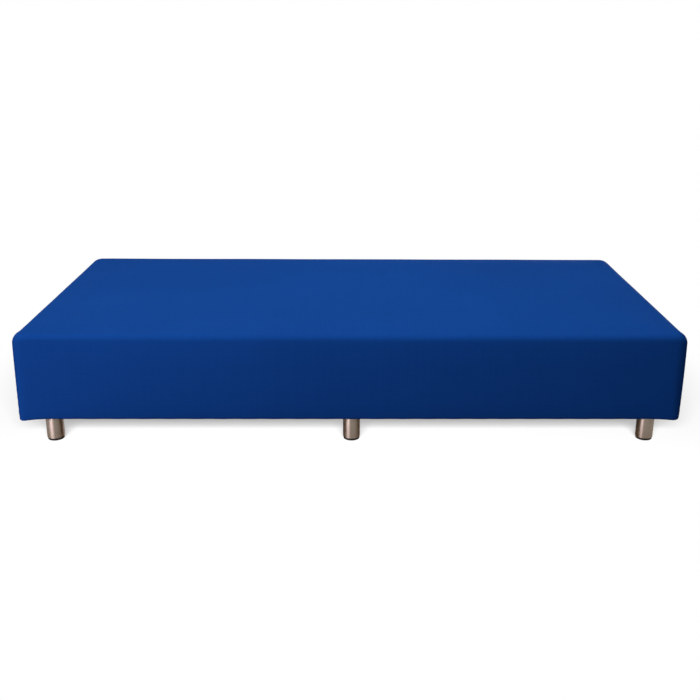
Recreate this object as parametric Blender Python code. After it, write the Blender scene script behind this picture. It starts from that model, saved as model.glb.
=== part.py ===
"""Low upholstered platform seat on six round metal legs, as the pieces it comes apart into.

Metres, +Z up. The length runs along X, the front faces -Y, and the origin is on the floor
under the middle of the seat. Every piece takes its place from the sizes named below.
"""

import math

import bmesh
import bpy

# Clearance between two pieces that touch
FIT = 0.0003

# The upholstered form
LENGTH = 1.900
DEPTH = 0.900
CORNER_RADIUS = 0.042
EDGE_RADIUS = 0.026
BOTTOM_RADIUS = 0.006
SIDE_SWELL = 0.002
CROWN = 0.005
CROWN_FLAT = 0.240
COVER_THICKNESS = 0.0015
HEM_WIDTH = 0.045
WADDING_THICKNESS = 0.006
SEAT_FOAM_THICKNESS = 0.065
SIDE_FOAM_THICKNESS = 0.012
DUST_COVER_THICKNESS = 0.0008
DUST_COVER_INSET = 0.018

# The timber frame
RAIL_THICKNESS = 0.022
RAIL_HEIGHT = 0.164
CROSS_RAIL_THICKNESS = 0.034
CROSS_RAIL_HEIGHT = 0.070
HOUSING_DEPTH = 0.008
LEG_BLOCK_HEIGHT = 0.045
DECK_THICKNESS = 0.015
VENT_DIAMETER = 0.045
VENTS_ALONG = 3
VENTS_ACROSS = 2

# The legs
LEG_DIAMETER = 0.050
LEG_LENGTH = 0.0825
LEG_WALL = 0.0015
LEG_PLATE_THICKNESS = 0.005
LEG_CHAMFER = 0.0008
LEG_INSET = 0.080
STUD_DIAMETER = 0.010
STUD_COLLAR_DIAMETER = 0.017
STUD_COLLAR_HEIGHT = 0.006
STUD_TIP = 0.003
TEE_BARREL_DIAMETER = 0.012
TEE_BARREL_LENGTH = 0.014
TEE_FLANGE_DIAMETER = 0.028
TEE_FLANGE_THICKNESS = 0.0016

# The levelling glides, which screw up into the foot of each leg
PLUG_HEIGHT = 0.020
GLIDE_SETBACK = 0.0015
GLIDE_THICKNESS = 0.0065
GLIDE_CHAMFER = 0.0008
GLIDE_LIP = 0.0008
GLIDE_LIP_GRIP = 0.0010
STEM_DIAMETER = 0.010
STEM_LENGTH = 0.032
STEM_HEAD_DIAMETER = 0.018
STEM_HEAD_THICKNESS = 0.0022
STEM_CHAMFER = 0.001

# How finely round shapes are faceted
ROUND_SIDES = 24
SMALL_ROUND_SIDES = 12
CORNER_SEGMENTS = 6
EDGE_SEGMENTS = 5
BOTTOM_SEGMENTS = 2
SIDE_SEGMENTS = 4
CROWN_SEGMENTS = 4
LEAST_CORNER = 0.004
SHARP_ANGLE = math.radians(40)
MERGE_DISTANCE = 0.000001

# Heights, stacked up from the floor
LEG_BOTTOM = GLIDE_THICKNESS + FIT
LEG_TOP = LEG_BOTTOM + LEG_LENGTH
DUST_BOTTOM = LEG_TOP + FIT
DUST_TOP = DUST_BOTTOM + DUST_COVER_THICKNESS
HEM_BOTTOM = DUST_TOP + FIT
HEM_TOP = HEM_BOTTOM + COVER_THICKNESS
FRAME_BOTTOM = HEM_TOP + FIT
BLOCK_TOP = FRAME_BOTTOM + LEG_BLOCK_HEIGHT
RAIL_TOP = FRAME_BOTTOM + RAIL_HEIGHT
DECK_BOTTOM = RAIL_TOP + FIT
DECK_TOP = DECK_BOTTOM + DECK_THICKNESS
FOAM_BOTTOM = DECK_TOP + FIT
FOAM_TOP = FOAM_BOTTOM + SEAT_FOAM_THICKNESS
COVER_TOP = FOAM_TOP + FIT + WADDING_THICKNESS + FIT + COVER_THICKNESS

# Depths of the layers below the outside of the cover
WADDING_OUTSIDE = COVER_THICKNESS + FIT
WADDING_INSIDE = WADDING_OUTSIDE + WADDING_THICKNESS
FOAM_OUTSIDE = WADDING_INSIDE + FIT
FRAME_OUTSIDE = SIDE_SWELL + FOAM_OUTSIDE + SIDE_FOAM_THICKNESS + FIT

# The frame's outer faces, and the inner faces of its four rails
FRAME_X = LENGTH / 2 - FRAME_OUTSIDE
FRAME_Y = DEPTH / 2 - FRAME_OUTSIDE
INNER_X = FRAME_X - RAIL_THICKNESS
INNER_Y = FRAME_Y - RAIL_THICKNESS

# Where the legs and the cross rails stand
LEG_X = LENGTH / 2 - LEG_INSET
LEG_Y = DEPTH / 2 - LEG_INSET
LEG_PLACES = {
    f"{row}_{column}": (x, y)
    for row, y in (("front", -LEG_Y), ("back", LEG_Y))
    for column, x in (("left", -LEG_X), ("centre", 0.0), ("right", LEG_X))
}
CROSS_RAIL_PLACES = {"left": -INNER_X / 2, "centre": 0.0, "right": INNER_X / 2}


def clear_scene():
    for old in list(bpy.data.objects):
        bpy.data.objects.remove(old, do_unlink=True)


def finish(name, colour, roughness, metallic=0.0):
    """A plain material: a Principled BSDF with one colour."""
    material = bpy.data.materials.new(name)
    material.use_nodes = True
    shader = material.node_tree.nodes["Principled BSDF"]
    shader.inputs["Base Color"].default_value = (*colour, 1.0)
    shader.inputs["Roughness"].default_value = roughness
    shader.inputs["Metallic"].default_value = metallic
    return material


def place(name, bm, material, location=(0.0, 0.0, 0.0), parent=None, smooth=False):
    """Turn a bmesh into a named object, in one material, at its place."""
    bmesh.ops.recalc_face_normals(bm, faces=bm.faces)
    mesh = bpy.data.meshes.new(name)
    bm.to_mesh(mesh)
    bm.free()
    mesh.materials.append(material)
    if smooth:
        mesh.shade_smooth()
        mesh.set_sharp_from_angle(angle=SHARP_ANGLE)
    piece = bpy.data.objects.new(name, mesh)
    bpy.context.scene.collection.objects.link(piece)
    piece.location = location
    piece.parent = parent
    return piece


def empty(name, location):
    marker = bpy.data.objects.new(name, None)
    bpy.context.scene.collection.objects.link(marker)
    marker.location = location
    return marker


def board(name, low, high, material):
    """A rectangular piece between two corners, with its origin at its middle."""
    middle = [(a + b) / 2 for a, b in zip(low, high)]
    size = [b - a for a, b in zip(low, high)]
    bm = bmesh.new()
    bmesh.ops.create_cube(bm, size=1.0)
    bmesh.ops.scale(bm, vec=size, verts=bm.verts)
    return place(name, bm, material, middle)


def turned(profile, sides, closed):
    """Turn a profile of (radius, z) points about Z. A closed profile leaves a bore."""
    bm = bmesh.new()
    points = [bm.verts.new((radius, 0.0, z)) for radius, z in profile]
    pairs = list(zip(points, points[1:]))
    if closed:
        pairs.append((points[-1], points[0]))
    edges = [bm.edges.new(pair) for pair in pairs]
    bmesh.ops.spin(
        bm,
        geom=points + edges,
        cent=(0.0, 0.0, 0.0),
        axis=(0.0, 0.0, 1.0),
        angle=math.tau,
        steps=sides,
        use_merge=True,
    )
    bmesh.ops.remove_doubles(bm, verts=bm.verts, dist=MERGE_DISTANCE)
    return bm


def helper(piece):
    """Keep a cutter out of the finished object."""
    piece.hide_render = True
    piece.display_type = "WIRE"
    return piece


def cut(piece, cutter):
    modifier = piece.modifiers.new("cut_" + cutter.name, "BOOLEAN")
    modifier.operation = "DIFFERENCE"
    modifier.object = cutter
    modifier.solver = "EXACT"


def upright_cylinders(name, places, diameter, bottom, top):
    """One cutter of several upright cylinders."""
    bm = bmesh.new()
    for x, y in places:
        made = bmesh.ops.create_cone(
            bm,
            cap_ends=True,
            segments=SMALL_ROUND_SIDES,
            radius1=diameter / 2,
            radius2=diameter / 2,
            depth=top - bottom,
        )
        bmesh.ops.translate(bm, verts=made["verts"], vec=(x, y, (bottom + top) / 2))
    return helper(place(name, bm, finish(name, (1.0, 0.0, 0.0), 0.5)))


def ring(bm, inset, z):
    """One level ring round the seat: a rectangle with round corners, inset from the outside."""
    radius = max(CORNER_RADIUS - inset, LEAST_CORNER)
    reach_x = LENGTH / 2 - inset - radius
    reach_y = DEPTH / 2 - inset - radius
    points = []
    for quarter, (x, y) in enumerate(((1, 1), (-1, 1), (-1, -1), (1, -1))):
        for step in range(CORNER_SEGMENTS + 1):
            angle = math.pi / 2 * (quarter + step / CORNER_SEGMENTS)
            across = x * reach_x + radius * math.cos(angle)
            along = y * reach_y + radius * math.sin(angle)
            points.append(bm.verts.new((across, along, z)))
    return points


def lofted(levels):
    """Join rings at (inset, z) levels into one closed solid, with a face over each end."""
    bm = bmesh.new()
    rings = [ring(bm, inset, z) for inset, z in levels]
    for lower, upper in zip(rings, rings[1:]):
        for i in range(len(lower)):
            bm.faces.new((lower[i - 1], lower[i], upper[i], upper[i - 1]))
    bm.faces.new(rings[0])
    bm.faces.new(rings[-1])
    return bm


def form(depth, bottom, swell=0.0, bottom_radius=0.0):
    """Levels of the seat's form under some depth of layers, from its lower edge to its crown."""
    top = COVER_TOP - depth
    edge_radius = EDGE_RADIUS - depth
    middle = (HEM_BOTTOM + COVER_TOP) / 2
    half = (COVER_TOP - HEM_BOTTOM) / 2

    def flank(z):
        return SIDE_SWELL + depth - swell * (1 - ((z - middle) / half) ** 2)

    levels = []
    foot = bottom + bottom_radius
    if bottom_radius:
        for step in range(BOTTOM_SEGMENTS):
            angle = math.pi / 2 * step / BOTTOM_SEGMENTS
            turn = bottom_radius * (1 - math.sin(angle))
            levels.append((flank(foot) + turn, foot - bottom_radius * math.cos(angle)))
    shoulder = top - edge_radius
    for step in range(SIDE_SEGMENTS + 1):
        z = foot + (shoulder - foot) * step / SIDE_SEGMENTS
        levels.append((flank(z), z))
    for step in range(1, EDGE_SEGMENTS + 1):
        angle = math.pi / 2 * step / EDGE_SEGMENTS
        turn = edge_radius * (1 - math.cos(angle))
        levels.append((flank(shoulder) + turn, shoulder + edge_radius * math.sin(angle)))
    rim = levels[-1][0]
    run = (DEPTH - CROWN_FLAT) / 2 - rim
    for step in range(1, CROWN_SEGMENTS + 1):
        share = step / CROWN_SEGMENTS
        levels.append((rim + run * share, top + CROWN * math.sin(math.pi / 2 * share)))
    return levels


def seat_cover():
    """The tight fabric skin, with its hem turned in under the frame."""
    outside = form(0.0, HEM_BOTTOM, SIDE_SWELL, BOTTOM_RADIUS)
    inner_bend = BOTTOM_RADIUS - COVER_THICKNESS
    inside = form(COVER_THICKNESS, HEM_TOP, SIDE_SWELL, inner_bend)
    hem = [(HEM_WIDTH, HEM_BOTTOM), (HEM_WIDTH, HEM_TOP)]
    blue_fabric = finish("blue_fabric", (0.006, 0.055, 0.27), 0.85)
    place("seat_cover", lofted(outside[::-1] + hem + inside), blue_fabric, smooth=True)


def wadding():
    """Fibre wadding over the top and down the sides, open below."""
    bottom = HEM_TOP + BOTTOM_RADIUS - COVER_THICKNESS + FIT
    outside = form(WADDING_OUTSIDE, bottom, SIDE_SWELL)
    inside = form(WADDING_INSIDE, bottom)
    white_fibre = finish("white_fibre", (0.82, 0.82, 0.80), 0.95)
    place("wadding", lofted(outside[::-1] + inside), white_fibre, smooth=True)


def seat_foam(foam):
    """The crowned foam slab that lies on the deck."""
    place("seat_foam", lofted(form(FOAM_OUTSIDE, FOAM_BOTTOM)), foam, smooth=True)


def extruded(outline, bottom, top):
    bm = bmesh.new()
    face = bm.faces.new([bm.verts.new((x, y, bottom)) for x, y in outline])
    made = bmesh.ops.extrude_face_region(bm, geom=[face])
    raised = [item for item in made["geom"] if isinstance(item, bmesh.types.BMVert)]
    bmesh.ops.translate(bm, verts=raised, vec=(0.0, 0.0, top - bottom))
    return bm


def side_foams(foam):
    """Foam strips on the outside of the rails. The long ones turn the corners."""
    outside = SIDE_SWELL + FOAM_OUTSIDE
    radius = CORNER_RADIUS - outside
    reach_x = LENGTH / 2 - outside
    reach_y = DEPTH / 2 - outside
    back_x = FRAME_X + FIT
    back_y = FRAME_Y + FIT
    turn = reach_y - radius
    outer = []
    for quarter, side in ((0, 1), (1, -1)):
        for step in range(CORNER_SEGMENTS + 1):
            angle = math.pi / 2 * (quarter + step / CORNER_SEGMENTS)
            across = side * (reach_x - radius) + radius * math.cos(angle)
            outer.append((across, turn + radius * math.sin(angle)))
    inner = [(-back_x, turn), (-back_x, back_y), (back_x, back_y), (back_x, turn)]
    for name, way in (("back", 1), ("front", -1)):
        outline = [(way * x, way * y) for x, y in outer + inner]
        strip = extruded(outline, FRAME_BOTTOM, DECK_TOP)
        place(name + "_side_foam", strip, foam, smooth=True)
    end = turn - FIT
    for name, low_x, high_x in (("left", -reach_x, -back_x), ("right", back_x, reach_x)):
        low = (low_x, -end, FRAME_BOTTOM)
        high = (high_x, end, DECK_TOP)
        board(name + "_side_foam", low, high, foam)


def frame_rails(timber):
    """Four outer rails, butted at the corners, and three cross rails let into the long ones."""
    housing_y = INNER_Y + HOUSING_DEPTH
    cross_bottom = RAIL_TOP - CROSS_RAIL_HEIGHT
    half = CROSS_RAIL_THICKNESS / 2
    housings = bmesh.new()
    for name, x in CROSS_RAIL_PLACES.items():
        low = (x - half, FIT - housing_y, cross_bottom)
        high = (x + half, housing_y - FIT, RAIL_TOP)
        board(name + "_cross_rail", low, high, timber)
        width = CROSS_RAIL_THICKNESS + 2 * FIT
        height = CROSS_RAIL_HEIGHT + 2 * FIT
        made = bmesh.ops.create_cube(housings, size=1.0)
        bmesh.ops.scale(housings, vec=(width, 2 * housing_y, height), verts=made["verts"])
        lift = (x, 0.0, cross_bottom - FIT + height / 2)
        bmesh.ops.translate(housings, verts=made["verts"], vec=lift)
    cutter = helper(place("cross_rail_housings", housings, timber))
    for name, low_y, high_y in (("front", -FRAME_Y, -INNER_Y), ("back", INNER_Y, FRAME_Y)):
        low = (-FRAME_X, low_y, FRAME_BOTTOM)
        high = (FRAME_X, high_y, RAIL_TOP)
        cut(board(name + "_rail", low, high, timber), cutter)
    end = INNER_Y - FIT
    for name, low_x, high_x in (("left", -FRAME_X, -INNER_X), ("right", INNER_X, FRAME_X)):
        board(name + "_end_rail", (low_x, -end, FRAME_BOTTOM), (high_x, end, RAIL_TOP), timber)


def leg_blocks(timber, stud_holes):
    """Blocks inside the rails that take the leg studs, centred on each leg."""
    half_x = INNER_X - FIT - LEG_X
    half_y = INNER_Y - FIT - LEG_Y
    for name, (x, y) in LEG_PLACES.items():
        low = (x - half_x, y - half_y, FRAME_BOTTOM)
        high = (x + half_x, y + half_y, BLOCK_TOP)
        cut(board(name + "_leg_block", low, high, timber), stud_holes)


def deck_panels():
    """Two plywood panels that meet over the centre cross rail, with holes for air."""
    plywood = finish("plywood", (0.62, 0.46, 0.28), 0.6)
    bay = FRAME_X / (VENTS_ALONG + 1)
    row = 2 * FRAME_Y / (VENTS_ACROSS + 1)
    for name, side in (("left", -1), ("right", 1)):
        near = side * FIT / 2
        far = side * FRAME_X
        low = (min(near, far), -FRAME_Y, DECK_BOTTOM)
        high = (max(near, far), FRAME_Y, DECK_TOP)
        places = [
            (side * bay * (i + 1), row * (j + 1) - FRAME_Y)
            for i in range(VENTS_ALONG)
            for j in range(VENTS_ACROSS)
        ]
        through = (DECK_BOTTOM - DECK_THICKNESS, DECK_TOP + DECK_THICKNESS)
        vents = upright_cylinders(name + "_deck_vents", places, VENT_DIAMETER, *through)
        cut(board(name + "_deck_panel", low, high, plywood), vents)


def dust_cover(stud_holes):
    """Thin black cloth under the frame, over the edge of the hem."""
    levels = [(DUST_COVER_INSET, DUST_BOTTOM), (DUST_COVER_INSET, DUST_TOP)]
    black_cloth = finish("black_cloth", (0.012, 0.012, 0.013), 0.9)
    cut(place("dust_cover", lofted(levels), black_cloth), stud_holes)


def leg_bm():
    """Tube with a plate welded in its top, drilled for the stud."""
    outer = LEG_DIAMETER / 2
    inner = outer - LEG_WALL
    hole = STUD_DIAMETER / 2 + FIT
    under_plate = LEG_LENGTH - LEG_PLATE_THICKNESS
    profile = [
        (outer - LEG_CHAMFER, 0.0),
        (outer, LEG_CHAMFER),
        (outer, LEG_LENGTH - LEG_CHAMFER),
        (outer - LEG_CHAMFER, LEG_LENGTH),
        (hole, LEG_LENGTH),
        (hole, under_plate),
        (inner, under_plate),
        (inner, 0.0),
    ]
    return turned(profile, ROUND_SIDES, closed=True)


def stud_bm(length):
    """Threaded stud with a collar under the leg's plate."""
    radius = STUD_DIAMETER / 2
    collar = STUD_COLLAR_DIAMETER / 2
    top = STUD_COLLAR_HEIGHT + length
    profile = [
        (0.0, 0.0),
        (collar, 0.0),
        (collar, STUD_COLLAR_HEIGHT),
        (radius, STUD_COLLAR_HEIGHT),
        (radius, top - STEM_CHAMFER),
        (radius - STEM_CHAMFER, top),
        (0.0, top),
    ]
    return turned(profile, SMALL_ROUND_SIDES, closed=False)


def tee_nut_bm():
    """Flanged nut that drops into the top of a leg block."""
    bore = STUD_DIAMETER / 2 + FIT
    barrel = TEE_BARREL_DIAMETER / 2
    flange = TEE_FLANGE_DIAMETER / 2
    profile = [
        (bore, -TEE_BARREL_LENGTH),
        (barrel, -TEE_BARREL_LENGTH),
        (barrel, 0.0),
        (flange, 0.0),
        (flange, TEE_FLANGE_THICKNESS),
        (bore, TEE_FLANGE_THICKNESS),
    ]
    return turned(profile, SMALL_ROUND_SIDES, closed=True)


def plug_bm():
    """Plug in the foot of the leg, with the bore that the glide's stem screws into."""
    outer = LEG_DIAMETER / 2 - LEG_WALL - FIT
    bore = STEM_DIAMETER / 2 + FIT
    profile = [(bore, 0.0), (outer, 0.0), (outer, PLUG_HEIGHT), (bore, PLUG_HEIGHT)]
    return turned(profile, ROUND_SIDES, closed=True)


def stem_bm():
    """Glide stem: a flat head that turns in the pad, and the screw above it."""
    head = STEM_HEAD_DIAMETER / 2
    radius = STEM_DIAMETER / 2
    profile = [
        (0.0, 0.0),
        (head, 0.0),
        (head, STEM_HEAD_THICKNESS),
        (radius, STEM_HEAD_THICKNESS),
        (radius, STEM_LENGTH - STEM_CHAMFER),
        (radius - STEM_CHAMFER, STEM_LENGTH),
        (0.0, STEM_LENGTH),
    ]
    return turned(profile, SMALL_ROUND_SIDES, closed=False)


def pad_bm():
    """Round glide pad, with a lipped socket that keeps the stem's head."""
    outer = LEG_DIAMETER / 2 - GLIDE_SETBACK
    socket = STEM_HEAD_DIAMETER / 2 + FIT
    mouth = STEM_HEAD_DIAMETER / 2 - GLIDE_LIP_GRIP
    under_lip = GLIDE_THICKNESS - GLIDE_LIP
    floor = under_lip - STEM_HEAD_THICKNESS - 2 * FIT
    profile = [
        (0.0, 0.0),
        (outer - GLIDE_CHAMFER, 0.0),
        (outer, GLIDE_CHAMFER),
        (outer, GLIDE_THICKNESS),
        (mouth, GLIDE_THICKNESS),
        (mouth, under_lip),
        (socket, under_lip),
        (socket, floor),
        (0.0, floor),
    ]
    return turned(profile, ROUND_SIDES, closed=False)


def legs():
    """Six legs, each parented to an empty on its axis at the floor."""
    nickel = finish("brushed_nickel", (0.60, 0.55, 0.50), 0.32, 1.0)
    zinc = finish("zinc_steel", (0.62, 0.63, 0.65), 0.4, 1.0)
    grey_plastic = finish("grey_plastic", (0.05, 0.05, 0.052), 0.5)
    black_plastic = finish("black_plastic", (0.015, 0.014, 0.014), 0.5)
    collar_bottom = LEG_TOP - LEG_PLATE_THICKNESS - FIT - STUD_COLLAR_HEIGHT
    tee_seat = BLOCK_TOP + FIT
    stud_top = tee_seat + TEE_FLANGE_THICKNESS + STUD_TIP
    stud_length = stud_top - collar_bottom - STUD_COLLAR_HEIGHT
    head_seat = GLIDE_THICKNESS - GLIDE_LIP - FIT - STEM_HEAD_THICKNESS
    for name, (x, y) in LEG_PLACES.items():
        axis = empty(name + "_leg_axis", (x, y, 0.0))
        pieces = (
            ("leg", leg_bm(), LEG_BOTTOM, nickel),
            ("leg_stud", stud_bm(stud_length), collar_bottom, zinc),
            ("tee_nut", tee_nut_bm(), tee_seat, zinc),
            ("leg_plug", plug_bm(), LEG_BOTTOM, grey_plastic),
            ("glide_stem", stem_bm(), head_seat, zinc),
            ("glide_pad", pad_bm(), 0.0, black_plastic),
        )
        for piece, bm, height, material in pieces:
            place(f"{name}_{piece}", bm, material, (0.0, 0.0, height), axis, smooth=True)


def main():
    clear_scene()
    timber = finish("spruce", (0.68, 0.52, 0.33), 0.65)
    foam = finish("cream_foam", (0.80, 0.74, 0.55), 0.9)
    hole = TEE_BARREL_DIAMETER + 2 * FIT
    through = (DUST_BOTTOM - LEG_BLOCK_HEIGHT, BLOCK_TOP + LEG_BLOCK_HEIGHT)
    stud_holes = upright_cylinders("stud_holes", LEG_PLACES.values(), hole, *through)
    seat_cover()
    wadding()
    seat_foam(foam)
    side_foams(foam)
    frame_rails(timber)
    leg_blocks(timber, stud_holes)
    deck_panels()
    dust_cover(stud_holes)
    legs()
    print(f"seat {LENGTH:.3f} x {DEPTH:.3f}, top at {COVER_TOP + CROWN:.4f}")


main()
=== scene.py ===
# %% [markdown]
# A low platform seat, dressed from its CAD model
#
# The real object is a long upholstered block with a flat top, in one tight blue cover, on six short round
# metal legs with a screw-in glide under each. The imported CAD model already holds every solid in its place.
# One could model it all again from nothing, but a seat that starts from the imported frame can't drift from
# it, so each piece below takes its size and place from a CAD node, and only adds what the eye wants to see.

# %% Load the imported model
import math

import bmesh
import bpy
import numpy as np
from mathutils import Matrix, Vector, noise


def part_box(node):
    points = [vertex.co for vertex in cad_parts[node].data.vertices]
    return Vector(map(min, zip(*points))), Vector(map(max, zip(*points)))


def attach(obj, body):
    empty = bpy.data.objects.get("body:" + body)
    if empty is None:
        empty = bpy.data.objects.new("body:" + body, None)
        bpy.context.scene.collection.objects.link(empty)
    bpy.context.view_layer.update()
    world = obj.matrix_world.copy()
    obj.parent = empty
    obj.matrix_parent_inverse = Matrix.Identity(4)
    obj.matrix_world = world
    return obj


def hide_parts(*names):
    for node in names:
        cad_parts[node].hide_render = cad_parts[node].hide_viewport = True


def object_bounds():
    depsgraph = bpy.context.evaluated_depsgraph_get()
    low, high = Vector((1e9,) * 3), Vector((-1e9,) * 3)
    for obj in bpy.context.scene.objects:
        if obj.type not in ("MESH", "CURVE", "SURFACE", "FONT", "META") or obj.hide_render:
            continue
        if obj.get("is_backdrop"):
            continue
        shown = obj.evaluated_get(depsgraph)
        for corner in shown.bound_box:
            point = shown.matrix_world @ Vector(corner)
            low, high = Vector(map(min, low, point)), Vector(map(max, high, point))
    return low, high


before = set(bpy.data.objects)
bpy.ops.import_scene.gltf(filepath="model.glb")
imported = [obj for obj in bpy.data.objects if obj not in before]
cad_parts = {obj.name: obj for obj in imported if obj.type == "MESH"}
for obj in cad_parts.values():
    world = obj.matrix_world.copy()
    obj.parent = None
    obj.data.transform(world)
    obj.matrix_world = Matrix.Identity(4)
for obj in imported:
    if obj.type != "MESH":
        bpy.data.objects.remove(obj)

cad_low, cad_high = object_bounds()
print("CAD box", [round(side, 4) for side in cad_high - cad_low])

# %% [markdown]
# The camera
#
# The photograph looks at the long front from a little above, with the verticals leaning in towards the
# floor. One could push a camera about by eye. Here a pinhole camera was fitted to the outline in the
# photograph first, so its place, its three turns, its lens and the small shift of the crop are plain numbers.

# %% Stand the camera
EYE = (-0.0027, -2.8466, 1.1623)
YAW = math.radians(-0.960)
TILT = math.radians(18.692)
ROLL = math.radians(-0.398)
LENS = 47.13
SENSOR = 36.0
SHIFT = (-0.0218, -0.0233)

scene = bpy.context.scene


def deselect():
    """Leave edit mode and select nothing, because operators act on all that is selected."""
    if bpy.context.mode != "OBJECT":
        bpy.ops.object.mode_set(mode="OBJECT")
    bpy.ops.object.select_all(action="DESELECT")


deselect()
bpy.ops.object.camera_add(location=EYE)
camera = bpy.context.object
camera.name = "photo_camera"
level = Matrix.Rotation(math.radians(90), 3, "X")
turn = Matrix.Rotation(YAW, 3, "Z") @ Matrix.Rotation(-TILT, 3, "X") @ Matrix.Rotation(ROLL, 3, "Y")
camera.rotation_euler = (turn @ level).to_euler()
camera.data.sensor_width = SENSOR
camera.data.lens = LENS
camera.data.shift_x, camera.data.shift_y = SHIFT
scene.camera = camera
scene.view_settings.view_transform = "Standard"
print("camera at", EYE, "with a lens of", LENS, "mm")

# %% [markdown]
# Shader maths
#
# Every finish below is a small sum of patterns. Wiring Math nodes one by one hides that sum, so one class
# wraps a socket and lets Python's own signs add the nodes, and one method makes any other node from its
# type, its settings and what goes into its sockets.


# %% Let sockets stand in sums
def sign(operation, swapped=False):
    """A method that adds a Math node for a wire and a value, in this order or swapped."""

    def method(wire, value):
        return wire.maths(operation, *((value, wire) if swapped else (wire, value)))

    return method


class Wire:
    """A node's output that can be added, multiplied and so on."""

    __add__ = __radd__ = sign("ADD")
    __mul__ = __rmul__ = sign("MULTIPLY")
    __sub__ = sign("SUBTRACT")
    __rsub__ = sign("SUBTRACT", swapped=True)
    __truediv__ = sign("DIVIDE")
    __mod__ = sign("MODULO")

    def __init__(self, paint, socket):
        self.paint = paint
        self.socket = socket

    def maths(self, operation, *values):
        return self.paint.node("Math", {"operation": operation}, dict(enumerate(values)))

    def other(self, output):
        """Another output of the same node."""
        return Wire(self.paint, self.socket.node.outputs[output])


print("sockets can stand in sums")


# %% Make nodes from their type, settings and sockets
class Paint:
    """The nodes of one material, or of the world."""

    def __init__(self, holder):
        holder.use_nodes = True
        self.holder = holder
        self.tree = holder.node_tree
        self.tree.nodes.clear()

    def node(self, kind, settings=None, sockets=None, output=0):
        """Add a node, set it up, feed its sockets with values or wires, and return one output."""
        made = self.tree.nodes.new("ShaderNode" + kind)
        for name, setting in (settings or {}).items():
            setattr(made, name, setting)
        for name, value in (sockets or {}).items():
            if isinstance(value, Wire):
                self.tree.links.new(value.socket, made.inputs[name])
            else:
                made.inputs[name].default_value = value
        return Wire(self, made.outputs[output]) if made.outputs else None

    def mix(self, share, first, second):
        """Blend two colours, each a wire or three numbers."""
        colours = [c if isinstance(c, Wire) else (*c, 1.0) for c in (first, second)]
        return self.node("Mix", {"data_type": "RGBA"}, {0: share, 6: colours[0], 7: colours[1]}, 2)

    def place(self, x=1.0, y=1.0, z=1.0):
        """Object coordinates, stretched along each axis."""
        where = self.node("TexCoord", output="Object")
        return self.node("Mapping", {}, {"Vector": where, "Scale": (x, y, z)})

    def grain(self, scale, detail=2.0, roughness=0.5, at=None):
        """Cloudy noise, in object coordinates unless it is given others."""
        where = at or self.place()
        sockets = {"Vector": where, "Scale": scale, "Detail": detail, "Roughness": roughness}
        return self.node("TexNoise", {}, sockets)

    def cells(self, scale):
        """The distance to the nearest of many scattered points."""
        return self.node("TexVoronoi", {}, {"Vector": self.place(), "Scale": scale})

    def bump(self, height, strength, distance):
        return self.node("Bump", {}, {"Height": height, "Strength": strength, "Distance": distance})

    def surface(self, **sockets):
        """Feed a Principled shader. A name such as base_color stands for Base Color."""
        titles = {name.replace("_", " ").title().replace("Ior", "IOR"): sockets[name] for name in sockets}
        self.node("OutputMaterial", {}, {"Surface": self.node("BsdfPrincipled", {}, titles)})
        return self.holder


def paint_for(name):
    return Paint(bpy.data.materials.new(name))


print("shader maths ready")

# %% [markdown]
# The studio
#
# The photograph is cut out on white, with a narrow grey shadow under the seat. The sky is white to the eye
# and in reflections, and dimmer as a light. One white floor won't do: its bounced light would wash out the
# front of the seat. So there are two, in one place. The camera sees a floor that glows nearly white, turns
# pure white a short way out, and is clear from below. The seat gets its bounced light from a dull card, and
# its metal mirrors that card as brown, with a painted pool of light next to the seat, darker away from it and
# white further out. Both floors ride on a glide: the model holds the seat still and lets its glides down, so
# the floor goes down with them.

# %% Make the world
SKY = 0.27
WHITE = (1.0, 1.0, 1.0, 1.0)

scene.world = bpy.data.worlds.new("studio_sky")
sky = Paint(scene.world)
ray = sky.node("LightPath", output="Is Camera Ray")
seen = ray.maths("MAXIMUM", ray, ray.other("Is Transmission Ray"))
seen = ray.maths("MAXIMUM", seen, ray.other("Is Glossy Ray"))
glow = sky.node("Background", {}, {"Color": WHITE, "Strength": seen * (1.0 - SKY) + SKY})
sky.node("OutputWorld", {}, {"Surface": glow})
print("sky at", SKY)

# %% Plan a floor that fades to white
FLOOR_SIZE = 40.0


def named(name):
    """Name the object that an operator has just added, and its mesh."""
    piece = bpy.context.object
    piece.name = name
    piece.data.name = name
    return piece


def away(paint, start, end):
    """A mask that grows from 0 to 1 between two distances outside the seat's footprint."""
    spot = paint.node("VectorMath", {"operation": "ABSOLUTE"}, {0: paint.place()})
    out = paint.node("VectorMath", {"operation": "SUBTRACT"}, {0: spot, 1: (cad_high.x, cad_high.y, 0.0)})
    out = paint.node("VectorMath", {"operation": "MAXIMUM"}, {0: out, 1: (0.0, 0.0, 0.0)})
    gap = paint.node("VectorMath", {"operation": "LENGTH"}, {0: out}, "Value")
    return paint.node("MapRange", {"interpolation_type": "SMOOTHSTEP"}, {0: gap, 1: start, 2: end})


def lay_floor(name, paint, near, fade):
    """A wide floor that turns from its own surface, under the seat, to plain white some way out."""
    deselect()
    bpy.ops.mesh.primitive_plane_add(size=FLOOR_SIZE)
    ground = named(name)
    far = paint.node("Emission", {}, {"Color": WHITE, "Strength": 1.0})
    pale = paint.node("MixShader", {}, {0: away(paint, *fade), 1: near, 2: far})
    ground.data.materials.append(paint.holder)
    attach(ground, "front_centre_glide")
    ground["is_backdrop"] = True
    return ground, pale


print("floors are", FLOOR_SIZE, "m wide")

# %% Lay the floor that the camera sees
FLOOR_GLOW = 0.45
FLOOR_FADE = (0.03, 0.36)

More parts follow.
